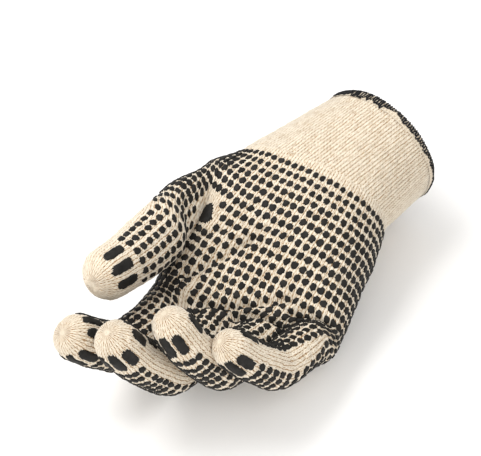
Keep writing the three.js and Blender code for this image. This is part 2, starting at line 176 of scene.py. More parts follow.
@dataclass(frozen=True)
class Digit:
    """A digit of the glove: its bent line, its girth, its knit and its prints.

    Its share is its part of the way across the palm, its base is the station where its own piece
    starts, and each row of its girth holds a station, a half width and a half height. Its bars
    hold the share across at their middle on the palm and on the back, and how far from the tip
    they stand.
    """

    name: str
    share: int
    length: float
    base: float
    root_y: float
    knuckle: tuple[float, float, float]
    joints: tuple[Joint, ...]
    girth: tuple[tuple[float, float, float], ...]
    palm_wales: int
    tube_wales: int
    dot_stations: tuple[float, ...]
    dot_rows: tuple[tuple[float, ...], ...]
    bars: tuple[float, float, float]

    def line(self) -> tuple[Array, Array, Array]:
        """Follows the digit's bent line from the wrist to past its tip.

        Returns:
            The places, side directions and front directions for each mm of the length.
        """
        reach, knuckle_y, knuckle_z = self.knuckle
        slope = np.array([0, (knuckle_y - self.root_y) / reach, knuckle_z / reach])
        first = self.joints[0]
        place = np.array([0.0, self.root_y, 0.0])
        places, sides, fronts = [], [], []
        for station in range(int(self.length) + 3):
            turn = np.eye(3)
            for joint in self.joints:
                share = smooth(joint.at - joint.reach, joint.at + joint.reach, float(station))
                turn = turn @ turn_about("Z", joint.swing * share)
                turn = turn @ turn_about("Y", -joint.flex * share)
                turn = turn @ turn_about("X", joint.twist * share)
            places.append(place)
            sides.append(turn[:, 1])
            fronts.append(turn[:, 2])
            left = 1 - smooth(first.at - first.reach, first.at + first.reach, station + 0.5)
            place = place + turn[:, 0] + slope * left
        return np.array(places), np.array(sides), np.array(fronts)


# shares across a side at which the rows of dots run, at each of the digit's dot stations; a row
# whose share leaves 0 to 1 has run off that side
FINGER_ROWS = (
    (0.083, 0.225), (0.25, 0.335), (0.417, 0.445),
    (0.583, 0.555), (0.75, 0.665), (0.917, 0.775),
)
THUMB_ROWS = (
    (0.05, 0.23, -0.2), (0.21, 0.31, -0.07), (0.37, 0.39, 0.06),
    (0.53, 0.47, 0.18), (0.69, 0.545, 0.305), (0.85, 0.62, 0.43),
    (0.975, 0.7, 0.555), (1.17, 0.79, 0.69), (1.33, 0.88, 0.82),
)

DIGITS = (
    Digit("thumb", 14, 131, 66, -37, (20, -43, 2),
          (Joint(16, 27.5, -8.6, 10, 15), Joint(70, -8.5, 3.8, -50, 12),
           Joint(100, -0.7, -7.3, 0, 10)),
          ((0, 12, 21), (35, 22, 21), (64, 15.6, 15.6), (80, 14.9, 14.9), (98, 14.2, 14.1),
           (130, 12.3, 12.1)),
          16, 20, (30, 58, 82), THUMB_ROWS, (0.5, 0.5, 12.5)),
    Digit("index_finger", 12, 179, 112, -17, (88, -29, 5),
          (Joint(88, 16.5, -8.5, 21, 10), Joint(133, 43, 0, 0, 10), Joint(159, 5, 0, 0, 8)),
          ((110, 12.4, 12.4), (133, 12.4, 12.3), (159, 11.8, 11.7), (184, 11.2, 11.1)),
          14, 17, (70, 100), FINGER_ROWS, (0.66, 0.6, 12.5)),
    Digit("middle_finger", 12, 201, 112, -1, (91, -6, -4),
          (Joint(91, 32, 0, 22, 10), Joint(141, 37, 0, 0, 10), Joint(171, 13, 0, 0, 8)),
          ((110, 11.5, 11.8), (141, 11.8, 11.8), (171, 11, 11), (197, 10.6, 10.6)),
          14, 17, (88, 116), FINGER_ROWS, (0.66, 0.58, 12.5)),
    Digit("ring_finger", 12, 186, 112, 15, (85, 15.5, -5),
          (Joint(85, 40, 0.5, 30, 10), Joint(131, 36, 0, 0, 10), Joint(159, 20, 0, 0, 8)),
          ((105, 11, 11.6), (131, 11.4, 11.4), (159, 10.3, 10.6), (185, 9.9, 10.2)),
          14, 16, (88, 116), FINGER_ROWS, (0.68, 0.45, 13)),
    Digit("little_finger", 11, 160, 102, 29, (76, 35, -4),
          (Joint(76, 36, 6, 38, 10), Joint(114, 37, 0, 0, 9), Joint(135, 9, 0, 0, 8)),
          ((98, 10.4, 11.2), (114, 10.4, 10.8), (135, 9.9, 10.2), (158, 9.5, 9.8)),
          13, 15, (80, 108), FINGER_ROWS, (0.62, 0.5, 12.5)),
)


@dataclass(frozen=True)
class SectionTable:
    """Closed sections of the flat glove, looked up by the share of the way along their arc.

    Each row holds a station, the radial and ulnar edges, the front and back heights and the power
    of the rounded outline.
    """

    rows: tuple[tuple[float, ...], ...]
    shares: int = 241
    angles: int = 241
    last: int = 230

    def arcs(self, side: Side) -> tuple[Array, Array]:
        """Returns the y and z of one side for each whole station and each even share.

        Args:
            side: The palm or the back.

        Returns:
            Two arrays of stations by shares.
        """
        table = np.array(self.rows, float)
        stations = np.arange(0, self.last, 1.0)
        columns = [np.interp(stations, table[:, 0], table[:, i])[:, None] for i in range(1, 6)]
        radial, ulnar, front, back, square = columns
        angle = np.linspace(math.pi, 0, self.angles)[None, :]
        height = front if side is Side.PALM else back
        out = np.sign(np.cos(angle)) * np.abs(np.cos(angle)) ** (2 / square)
        y = (radial + ulnar) / 2 + (ulnar - radial) / 2 * out
        z = side.value * height * np.abs(np.sin(angle)) ** (2 / square)
        run = np.zeros_like(y)
        run[:, 1:] = np.cumsum(np.hypot(np.diff(y), np.diff(z)), axis=1)
        run /= run[:, -1:]
        even = np.linspace(0, 1, self.shares)
        ys = np.array([np.interp(even, run[i], y[i]) for i in range(len(stations))])
        zs = np.array([np.interp(even, run[i], z[i]) for i in range(len(stations))])
        return ys, zs

    def edge(self, column: int, station: Array) -> Array:
        """Returns one column of the table at the stations.

        Args:
            column: The column's number.
            station: The stations.

        Returns:
            A value for each station.
        """
        table = np.array(self.rows, float)
        return np.interp(station, table[:, 0], table[:, column])


def look_up(table: Array, station: Array, share: Array) -> Array:
    """Reads a table of whole stations by even shares between its entries.

    Args:
        table: The values, stations by shares.
        station: The stations in mm.
        share: The shares from 0 to 1.

    Returns:
        The values, in the shape of the arguments.
    """
    row = np.clip(station, 0, table.shape[0] - 1.001)
    column = np.clip(share, 0, 1) * (table.shape[1] - 1.001)
    i, j = row.astype(int), column.astype(int)
    di, dj = row - i, column - j
    low = table[i, j] * (1 - dj) + table[i, j + 1] * dj
    high = table[i + 1, j] * (1 - dj) + table[i + 1, j + 1] * dj
    return low * (1 - di) + high * di


@dataclass
class GloveForm:
    """The smooth outer form of the worn glove, in millimetres in the row frame.

    The folds are the broad ones of the palm, and a sharp tuck of the cloth lies in each.
    """

    cuff_length: float = 50
    extension: float = 13
    deviation: float = 12
    hem_half_width: float = 35.5
    hem_half_height: float = 31
    tip_radius: float = 11
    clearance: float = 0.45
    clear_from: float = 2.5
    own_from: float = 2
    own_by: float = 16
    fold_fade: float = 10
    crotches: tuple[Crotch, ...] = (
        Crotch(64, -44, 38), Crotch(110, -18.5, 24), Crotch(110, 4.5, 24), Crotch(100, 26.5, 24),
    )
    wrist: SectionTable = SectionTable((
        (0, -46, 39.5, 31, 25, 2.3), (24, -58, 45, 29, 23, 2.4), (64, -66, 47, 25, 20, 2.5),
    ))
    palm: SectionTable = SectionTable((
        (0, -32, 42, 29, 25, 2.3), (25, -39, 46, 25, 23, 2.4), (50, -42, 48, 19, 20, 2.7),
        (75, -46, 51, 15, 18, 3), (95, -46, 52, 12.5, 17, 3), (130, -42, 48, 12, 12, 3),
    ))
    folds: tuple[Fold, ...] = (
        Fold((80, -31), (50, -12), 2.0, 6), Fold((50, -12), (21, -1), 1.6, 6),
        Fold((91, -14), (67, 22), 1.8, 4.5), Fold((90, 3), (84, 28), 2.6, 4.5),
        Fold((73, 27), (69, 45), 2.2, 4.5),
    )
    tucks: tuple[Fold, ...] = (
        Fold((80, -31), (50, -12), 1.7, 1.9, 1.1), Fold((50, -12), (24, -2), 1.4, 1.8, 0.9),
        Fold((91, -14), (67, 22), 1.9, 2.0, 1.1), Fold((90, 3), (84, 28), 2.4, 2.0, 1.4),
        Fold((73, 27), (69, 45), 2.0, 2.0, 1.1), Fold((62, -40), (46, -20), 1.1, 1.7, 0.5),
    )
    lip_offset: float = 1.7
    meeting_mm: float = 10
    wrinkle_mm: float = 5.5
    wrinkle_reach: float = 9
    wrinkle_per_degree: float = 0.012

    def __post_init__(self) -> None:
        """Prepares the digits' lines and the sections' arcs."""
        self.lines = [digit.line() for digit in DIGITS]
        self.arcs = {side: (self.wrist.arcs(side), self.palm.arcs(side)) for side in Side}
        self.turn = turn_about("Z", self.deviation) @ turn_about("Y", self.extension)

    def sides_of(self, index: int) -> tuple[Crotch, Crotch]:
        """Returns the crotches on the radial and the ulnar side of a digit.

        Args:
            index: The digit.

        Returns:
            The two crotches; the index finger takes its ulnar one for both.
        """
        radial = self.crotches[max(index - 1, 0)]
        ulnar = self.crotches[min(index, len(self.crotches) - 1)]
        return (ulnar, ulnar) if index == INDEX else (radial, ulnar)

    def middle(self, index: int, station: Array) -> Array:
        """Returns the y of a digit's middle in the flat glove.

        Args:
            index: The digit.
            station: The stations.

        Returns:
            The y at each station.
        """
        digit = DIGITS[index]
        end = max(crotch.at for crotch in self.sides_of(index))
        run = np.minimum(station, end) / digit.knuckle[0]
        return digit.root_y + (digit.knuckle[1] - digit.root_y) * run

    def bend(self, index: int, station: Array, y: Array, z: Array) -> Array:
        """Bends a flat place along a digit's line.

        Args:
            index: The digit.
            station: The stations.
            y: The flat places across.
            z: The flat heights.

        Returns:
            The points in the hand's frame.
        """
        places, sides, fronts = self.lines[index]
        row = np.clip(np.floor(station), 0, len(places) - 2).astype(int)
        share = (station - row)[..., None]
        place = places[row] * (1 - share) + places[row + 1] * share
        side = sides[row] * (1 - share) + sides[row + 1] * share
        front = fronts[row] * (1 - share) + fronts[row + 1] * share
        return place + side * (y - self.middle(index, station))[..., None] + front * z[..., None]

    def border(
        self, shared: Array | float, own: Array, crotch: float, station: Array, clear: float
    ) -> Array:
        """Returns a tube's edge: the shared one up to the crotch and its own one after it.

        Args:
            shared: The edge that the tube shares with its neighbour.
            own: The tube's own edge.
            crotch: The station of the crotch.
            station: The stations.
            clear: How far the tube stands off its neighbour past the crotch.

        Returns:
            The edge at each station.
        """
        edge = shared + clear * smooth(crotch, crotch + self.clear_from, station)
        return edge + (own - edge) * smooth(crotch + self.own_from, crotch + self.own_by, station)

    def tube(self, index: int, side: Side, across: Array, station: Array) -> tuple[Array, Array]:
        """Returns the flat y and z of a digit's own tube.

        Args:
            index: The digit.
            side: The palm or the back.
            across: Shares across the side.
            station: The stations.

        Returns:
            The flat places across and the flat heights.
        """
        digit = DIGITS[index]
        girth = np.array(digit.girth, float)
        middle = self.middle(index, station)
        width = np.interp(station, girth[:, 0], girth[:, 1])
        height = np.interp(station, girth[:, 0], girth[:, 2])
        before, after = self.sides_of(index)
        radial, ulnar = middle - width, middle + width
        palm_radial, palm_ulnar = self.palm.edge(1, station), self.palm.edge(2, station)
        if index > INDEX:
            radial = self.border(before.across, radial, before.at, station, self.clearance)
        elif index == INDEX:
            radial = self.border(palm_radial, radial, after.at, station, 0)
        if index == THUMB:
            ulnar = self.border(palm_radial, ulnar, after.at, station, -self.clearance)
        elif index < LAST:
            ulnar = self.border(after.across, ulnar, after.at, station, -self.clearance)
        else:
            ulnar = self.border(palm_ulnar, ulnar, after.at, station, 0)
        run = np.maximum(station - digit.length + self.tip_radius, 0) / self.tip_radius
        shrink = np.sqrt(np.maximum(1 - run * run, 0))
        y = (radial + ulnar) / 2 - (ulnar - radial) / 2 * shrink * np.cos(math.pi * across)
        return y, side.value * height * shrink * np.sin(math.pi * across)

    def fold_depth(self, station: Array, y: Array) -> Array:
        """Returns how deep the folds and the sharp tucks in them press into the palm.

        Args:
            station: The stations.
            y: The flat places across.

        Returns:
            The depth in mm at each place.
        """
        depth = np.zeros_like(y)
        for fold in self.folds + self.tucks:
            run = np.subtract(fold.end, fold.start)
            ahead, aside = station - fold.start[0], y - fold.start[1]
            near = np.clip((ahead * run[0] + aside * run[1]) / (run @ run), 0, 1)
            away = np.hypot(ahead - run[0] * near, aside - run[1] * near)
            away *= np.sign(ahead * run[1] - aside * run[0])
            depth += fold.depth * np.exp(-((away / fold.width) ** 2))
            depth -= fold.lip * np.exp(-((away / fold.width - self.lip_offset) ** 2))
        return depth

    def flat(self, index: int, side: Side, across: Array, station: Array) -> tuple[Array, Array]:
        """Returns y and z on the flat glove, which parts into the thumb, the palm and the fingers.

        Args:
            index: The digit.
            side: The palm or the back.
            across: Shares across the side.
            station: The stations.

        Returns:
            The flat places across and the flat heights.
        """
        first = self.crotches[0]
        parted = smooth(first.at - first.blend, first.at, station)
        shares = np.array([digit.share for digit in DIGITS], float)
        before = shares[:index].sum()
        (wrist_y, wrist_z), (palm_y, palm_z) = self.arcs[side]
        part = (before + shares[index] * across) / shares.sum()
        y, z = look_up(wrist_y, station, part), look_up(wrist_z, station, part)
        tube_y, tube_z = self.tube(index, side, across, station)
        if index == THUMB:
            return y + (tube_y - y) * parted, z + (tube_z - z) * parted
        part = (before - shares[THUMB] + shares[index] * across) / (shares.sum() - shares[THUMB])
        hand_y, hand_z = look_up(palm_y, station, part), look_up(palm_z, station, part)
        if side is Side.PALM:
            fade = np.minimum(hand_z / self.fold_fade, 1)
            hand_z = hand_z - self.fold_depth(station, hand_y) * fade
        y, z = y + (hand_y - y) * parted, z + (hand_z - z) * parted
        radial, ulnar = self.sides_of(index)
        at = radial.at + (ulnar.at - radial.at) * across
        split = smooth(at - radial.blend - (ulnar.blend - radial.blend) * across, at, station)
        return y + (tube_y - y) * split, z + (tube_z - z) * split

    def surface(self, index: int, side: Side, across: Array, station: Array) -> Array:
        """Returns points on the worn glove.

        Args:
            index: The digit.
            side: The palm or the back.
            across: Shares from the radial to the ulnar edge of the side.
            station: Distances from the cuff.

        Returns:
            The points in the row frame, in mm.
        """
        across, station = np.broadcast_arrays(np.asarray(across, float), np.asarray(station, float))
        y, z = self.flat(index, side, across, station)
        own = self.bend(index, station, y, z)
        point = own.copy()
        # near a shared edge each digit bends half as its neighbour does, so the two meet there
        near_radial = np.maximum(1 - across / (0.9 if index == INDEX else 0.5), 0)
        near_ulnar = np.maximum(2 * across - 1, 0)
        for step, reach in ((-1, near_radial), (1, near_ulnar)):
            if THUMB <= index + step <= LAST:
                at = self.crotches[min(index, index + step)].at
                share = 0.5 * reach**1.5 * (1 - smooth(at, at + self.meeting_mm, station))
                point += (self.bend(index + step, station, y, z) - own) * share[..., None]
        return point @ self.turn.T + np.array([self.cuff_length, 0, 0])

    def creases(self, index: int, side: Side, across: Array, station: Array) -> Array:
        """Returns the height in mm of the small wrinkles inside a digit's bends.

        Args:
            index: The digit.
            side: The palm or the back, which has none.
            across: Shares across the side.
            station: The stations.

        Returns:
            The height at each place.
        """
        height = np.zeros(np.broadcast(across, station).shape)
        if side is Side.PALM:
            for joint in DIGITS[index].joints[1:]:
                off = station - joint.at
                wave = np.cos(2 * math.pi * off / self.wrinkle_mm)
                wave = wave * np.exp(-((off / self.wrinkle_reach) ** 2))
                rise = self.wrinkle_per_degree * abs(joint.flex)
                height = height + rise * wave * np.sin(math.pi * across)
        return height

    def slack(self, points: Array) -> Array:
        """Returns how far in mm the loose cloth stands off, in broad swells and smaller ones."""
        return 0.35 * uneven(points, 17, 3) + 0.16 * uneven(points, 5, 4)

    def cuff(self, turn: Array, share: Array) -> Array:
        """Returns points on the cuff.

        Args:
            turn: Shares of the way round, from the radial edge over the palm side.
            share: Shares of the way from the hem to the hand.

        Returns:
            The points in the row frame, in mm.
        """
        turn, share = np.broadcast_arrays(np.asarray(turn, float) % 1.0, np.asarray(share, float))
        angle = math.pi * (1 - 2 * turn)
        none = 0 * turn
        across, up = self.hem_half_width * np.cos(angle), self.hem_half_height * np.sin(angle)
        hem = np.stack([none, across, up], -1)
        half = np.where(turn < 0.5, 2 * turn, 2 - 2 * turn)
        ends = []
        for side in Side:
            wrist_y, wrist_z = (look_up(table, none, half) for table in self.arcs[side][0])
            ends.append(np.stack([none, wrist_y, wrist_z], -1))
        flat = np.where((turn < 0.5)[..., None], ends[0], ends[1])
        wrist = flat @ self.turn.T + np.array([self.cuff_length, 0, 0])
        return hem + (wrist - hem) * share[..., None]


# ---- finishes ----


def linear(code: str) -> tuple[float, float, float, float]:
    """Turns an sRGB hex code into linear colour.

    Args:
        code: Six hex digits.

    Returns:
        The linear red, green, blue and alpha.
    """
    values = [int(code[i : i + 2], 16) / 255 for i in (0, 2, 4)]
    turned = [v / 12.92 if v <= 0.04045 else ((v + 0.055) / 1.055) ** 2.4 for v in values]
    return turned[0], turned[1], turned[2], 1.0


class NodeSheet:
    """The node tree of one material under construction."""

    def __init__(self, name: str) -> None:
        """Starts the material with a principled surface.

        Args:
            name: The material's name.
        """
        self.material = bpy.data.materials.new(name)
        self.material.use_nodes = True
        self.tree = self.material.node_tree
        self.surface = self.tree.nodes["Principled BSDF"]

    def add(self, kind: str, settings: dict | None = None, **links: object) -> bpy.types.Node:
        """Adds a node with its settings and links.

        Args:
            kind: The node's type, without ShaderNode.
            settings: See join.
            **links: See join.

        Returns:
            The node.
        """
        node = self.tree.nodes.new("ShaderNode" + kind)
        self.join(node, settings or {}, **links)
        return node

    def join(self, node: bpy.types.Node, settings: dict, **links: object) -> None:
        """Sets and links a node.

        Args:
            node: The node.
            settings: Its inputs by index or name, its properties by name, and the places and hex
                colours of a ramp under stops.
            **links: For each input, i0, i1 or its name with _ for spaces, the socket that feeds
                it, or a node for that node's first output.
        """
        for key, value in settings.items():
            if key == "stops":
                elements = node.color_ramp.elements
                while len(elements) < len(value):
                    elements.new(0.5)
                for element, (place, code) in zip(elements, value):
                    element.position = place
                    element.color = linear(code)
            elif isinstance(key, int) or key in node.inputs:
                node.inputs[key].default_value = value
            else:
                setattr(node, key, value)
        for key, source in links.items():
            socket = source.outputs[0] if isinstance(source, bpy.types.Node) else source
            numbered = key[0] == "i" and key[1:].isdigit()
            target = int(key[1:]) if numbered else key.replace("_", " ")
            self.tree.links.new(socket, node.inputs[target])


@dataclass(frozen=True)
class StringKnit:
    """Undyed cotton string, knitted."""

    # cotton fibres scatter the light, so the knit is matt and cream with a soft pale edge; the
    # brown is painted shade where little light gets down between its stitches
    name: str = "undyed_cotton_string_knit"
    # the two darkest colours are painted shade between the stitches, and the palest a painted
    # highlight on their tops
    painted_hole_shade: str = "5f4120"
    shade: str = "b08b60"
    body: str = "d0c1a9"
    light: str = "e9ddca"
    # three plies cross a stitch of about 2 mm, some 0.7 mm each, about as on real string, and
    # they slant by ply_slant courses over a wale
    ply_turns: float = 3.0
    ply_slant: float = 2.2
    # a clump of fibres, drawn coarser than real to show: one fibre is about 0.02 mm wide
    fibre_mm: float = 0.45
    # the string is a little darker over some stitches than over others
    patch_mm: float = 14.2857

    def build(self) -> bpy.types.Material:
        """Builds the material, with shade and highlight painted from the stitches' own relief, and
        plies and fibres as bump.

        Returns:
            The material.
        """
        sheet = NodeSheet(self.name)
        add = sheet.add
        relief = add("Attribute", {"attribute_name": "relief"}).outputs["Fac"]
        wales, courses = add("SeparateXYZ", {}, i0=add("UVMap", {"uv_map": "stitches"})).outputs[:2]
        wale = add("Math", {"operation": "FRACT"}, i0=wales)
        half = add("Math", {"operation": "SUBTRACT", 1: 0.5}, i0=wale)
        leg = add("Math", {"operation": "ABSOLUTE"}, i0=half)
        # the plies of the string run slantwise along each leg of a stitch
        slant = add("Math", {"operation": "MULTIPLY", 1: self.ply_slant}, i0=leg)
        phase = add("Math", {"operation": "SUBTRACT"}, i0=courses, i1=slant)
        turns = add("Math", {"operation": "MULTIPLY", 1: 2 * math.pi * self.ply_turns}, i0=phase)
        plies = add("Math", {"operation": "SINE"}, i0=turns)
        place = add("TexCoord").outputs["Object"]
        fibres = {"Scale": 1 / (self.fibre_mm * MM), "Detail": 3.0, "Roughness": 0.65}
        fibre = add("TexNoise", fibres, Vector=place)
        patches = add("TexNoise", {"Scale": 1 / (self.patch_mm * MM), "Detail": 2.0}, Vector=place)
        mottle = add("Math", {"operation": "MULTIPLY_ADD", 1: 0.22, 2: -0.08}, i0=fibre)
        drift = add("Math", {"operation": "MULTIPLY_ADD", 1: 0.1, 2: -0.05}, i0=patches)
        # painted shade in the deep gaps between the wales, one dark dash beside each stitch and
        # paler between the dashes
        turn = add("Math", {"operation": "MULTIPLY", 1: 2 * math.pi}, i0=courses)
        pulse = add("Math", {"operation": "COSINE"}, i0=turn)
        gap = add("MapRange", {"From Min": -1.0, "To Min": 0.4, "To Max": -0.32}, Value=pulse)
        border = add("MapRange", {"From Min": 0.34, "From Max": 0.49}, Value=leg)
        painted_gap_shade = add("Math", {"operation": "MULTIPLY"}, i0=gap, i1=border)
        # the two legs of a stitch lie close together, so little shade shows between them
        closed = add("MapRange", {"From Max": 0.17, "To Min": 0.34, "To Max": 0.0}, Value=leg)
        tint = relief
        for change in (mottle, drift, painted_gap_shade, closed):
            tint = add("Math", {"operation": "ADD"}, i0=tint, i1=change)
        # painted shade and highlight: brown deep between the stitches, through shade and the yarn's
        # own body colour, to pale on their tops
        stops = [(0.0, self.painted_hole_shade), (0.28, self.shade), (0.56, self.body), (0.85, self.light)]
        colour = add("ValToRGB", {"stops": stops}, i0=tint)
        height = add("Math", {"operation": "MULTIPLY_ADD", 1: 0.25}, i0=plies, i2=fibre)
        bump = add("Bump", {"Strength": 0.55, "Distance": 0.25 * MM}, Height=height)
        finish = {"Roughness": 0.92, "Specular IOR Level": 0.15}
        fuzz = {"Sheen Weight": 0.25, "Sheen Roughness": 0.5}
        sheet.join(sheet.surface, finish | fuzz, Base_Color=colour, Normal=bump)
        return sheet.material


@dataclass(frozen=True)
class PrintedPvc:
    """PVC plastisol, screen printed and heat cured."""

    # the cured paste is an even near black with a dull satin gloss, a little paler where it has
    # rubbed, and too grainy for a sharp highlight
    name: str = "printed_pvc_plastisol"
    body: str = "181715"
    worn: str = "2a2826"
    # drawn coarser than real to show: the paste's grain is under 0.1 mm
    grain_mm: float = 0.35
    # the rubbed places are about as large as a dot
    patch_mm: float = 4.5455

    def build(self) -> bpy.types.Material:
        """Builds the material: slightly uneven colour and a fine grain.

        Returns:
            The material.
        """
        sheet = NodeSheet(self.name)
        add = sheet.add
        place = add("TexCoord").outputs["Object"]
        grain = add("TexNoise", {"Scale": 1 / (self.grain_mm * MM), "Detail": 2.0}, Vector=place)
        patches = add("TexNoise", {"Scale": 1 / (self.patch_mm * MM), "Detail": 2.0}, Vector=place)
        colour = add("ValToRGB", {"stops": [(0.35, self.body), (0.75, self.worn)]}, i0=patches)
        rough = add("MapRange", {"To Min": 0.5, "To Max": 0.72}, Value=grain)
        bump = add("Bump", {"Strength": 0.4, "Distance": 0.12 * MM}, Height=grain)
        finish = {"Specular IOR Level": 0.15}
        sheet.join(sheet.surface, finish, Base_Color=colour, Roughness=rough, Normal=bump)
        return sheet.material


@dataclass(frozen=True)
class OverlockThread:
    """Textured polyester thread, spun, dyed black and overlocked."""

    # the crimped fibres swallow the light, so the thread is matt and near black, with a paler
    # fibre here and there
    name: str = "spun_polyester_thread"
    body: str = "161618"
    fuzz: str = "38373a"
    # a bundle of fibres, drawn coarser than real to show: one fibre is about 0.02 mm wide
    fibre_mm: float = 0.25

    def build(self) -> bpy.types.Material:
        """Builds the material: near black with fine lighter fibres.

        Returns:
            The material.
        """
        sheet = NodeSheet(self.name)
        add = sheet.add
        place = add("TexCoord").outputs["Object"]
        fibre = add("TexNoise", {"Scale": 1 / (self.fibre_mm * MM), "Detail": 3.0}, Vector=place)
        colour = add("ValToRGB", {"stops": [(0.45, self.body), (0.8, self.fuzz)]}, i0=fibre)
        bump = add("Bump", {"Strength": 0.6, "Distance": 0.15 * MM}, Height=fibre)
        finish = {"Roughness": 0.9, "Specular IOR Level": 0.2}
        sheet.join(sheet.surface, finish, Base_Color=colour, Normal=bump)
        return sheet.material


@dataclass(frozen=True)
class PaintedFloor:
    """A studio floor, rolled with matt wall paint."""

    # matt paint gives an even, pale ground with no gloss and only the softest shadow edge
    name: str = "painted_studio_floor"
    body: str = "f4f3f1"
    light: str = "f9f8f7"
    # the paint's hue drifts over about a roller's stroke
    patch_mm: float = 333.33

    def build(self) -> bpy.types.Material:
        """Builds the material with a barely visible unevenness.

        Returns:
            The material.
        """
        sheet = NodeSheet(self.name)
        add = sheet.add
        place = add("TexCoord").outputs["Object"]
        patches = add("TexNoise", {"Scale": 1 / (self.patch_mm * MM), "Detail": 1.0}, Vector=place)
        colour = add("ValToRGB", {"stops": [(0.3, self.body), (0.7, self.light)]}, i0=patches)
        finish = {"Roughness": 0.9, "Specular IOR Level": 0.1}
        sheet.join(sheet.surface, finish, Base_Color=colour)
        return sheet.material


# ---- meshes ----


@dataclass
class PieceMesh:
    """A mesh under construction: points in mm, faces, and for knit the stitch places and relief."""

    points: Array
    faces: Array
    stitches: Array | None = None
    relief: Array | None = None

    def make(self, name: str, material: bpy.types.Material, slot: str, *replaced: str) -> None:
        """Makes the Blender object, which rides on the glove.

        Args:
            name: The piece's name.
            material: Its finish.
            slot: The record's material slot; not used.
            *replaced: The CAD nodes it stands for.
        """
        used, index = np.unique(self.faces, return_inverse=True)
        faces = index.reshape(self.faces.shape)
        mesh = bpy.data.meshes.new(name)
        mesh.vertices.add(len(used))
        mesh.vertices.foreach_set("co", (self.points[used] * MM).ravel())
        mesh.loops.add(faces.size)
        mesh.loops.foreach_set("vertex_index", faces.ravel())
        mesh.polygons.add(len(faces))
        mesh.polygons.foreach_set("loop_start", np.arange(len(faces)) * faces.shape[1])
        mesh.update(calc_edges=True)
        mesh.polygons.foreach_set("use_smooth", np.ones(len(faces), bool))
        if self.stitches is not None:
            layer = mesh.uv_layers.new(name="stitches")
            layer.data.foreach_set("uv", self.stitches[used][faces.ravel()].ravel())
            attribute = mesh.attributes.new("relief", "FLOAT", "POINT")
            attribute.data.foreach_set("value", self.relief[used])
        mesh.validate()
        mesh.materials.append(material)
        piece = bpy.data.objects.new(name, mesh)
        bpy.context.scene.collection.objects.link(piece)
        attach(piece, "root")
        if replaced:
            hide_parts(*replaced)
        LOG.info("%s: %d faces", name, len(faces))


def grid_faces(rows: int, columns: int, flipped: bool) -> Array:
    """Returns the four-sided faces of a grid of points.

    Args:
        rows: Number of rows of points.
        columns: Number of points in a row.
        flipped: Whether the faces look the other way.

    Returns:
        The faces as an array of four point numbers each.
    """
    i, j = np.meshgrid(np.arange(rows - 1), np.arange(columns - 1), indexing="ij")
    a = (i * columns + j).ravel()
    faces = np.stack([a, a + columns, a + columns + 1, a + 1], -1)
    return faces[:, ::-1] if flipped else faces


def joined_normals(points: Array, faces: Array, same_mm: float = 0.02) -> Array:
    """Returns smooth normals, the same for points that lie at one place.

    Args:
        points: The points in mm.
        faces: Four-sided faces.
        same_mm: How close points at one place are.

    Returns:
        A normal for each point.
    """
    cell = np.round(points / same_mm).astype(np.int64)
    _, same = np.unique(cell, axis=0, return_inverse=True)
    same = same.ravel()
    corners = points[faces]
    face_normal = np.cross(corners[:, 2] - corners[:, 0], corners[:, 3] - corners[:, 1])
    total = np.zeros((same.max() + 1, 3))
    for corner in range(faces.shape[1]):
        np.add.at(total, same[faces[:, corner]], face_normal)
    return unit(total)[same]


def stitch_relief(wale: Array, course: Array) -> Array:
    """Returns the height of plain knit, from 0 deep between the stitches to 1 on their legs.

    Each stitch is a V of two legs whose point lies towards the fingertips, and which lies partly
    under the next one.

    Args:
        wale: Place across the knit, counted in wales.
        course: Place along the knit, counted in courses.

    Returns:
        The height at each place.
    """
    leg_start, leg_slant, leg_half = 0.32, 0.19, 0.165
    arch_start, arch_length = 0.3, 1.6
    away = np.abs(wale - np.floor(wale) - 0.5)
    height = np.zeros_like(away)
    for shift in (-1, 0, 1):
        along = course - np.floor(course) + shift
        leg = leg_start - leg_slant * along
        round_leg = np.sqrt(np.maximum(1 - ((away - leg) / leg_half) ** 2, 0))
        arch = np.sin(math.pi * np.clip((along + arch_start) / arch_length, 0, 1)) ** 0.5
        height = np.maximum(height, round_leg * arch)
    return height


def stitch_random(wale: Array, course: Array) -> Array:
    """Returns a share from 0 to 1 that looks random and is the same all over a stitch.

    Args:
        wale: Place across the knit, counted in wales.
        course: Place along the knit, counted in courses.

    Returns:
        The share at each place.
    """
    return np.modf(np.abs(np.sin(np.floor(wale) * 12.99 + np.floor(course) * 78.23) * 437.5))[0]


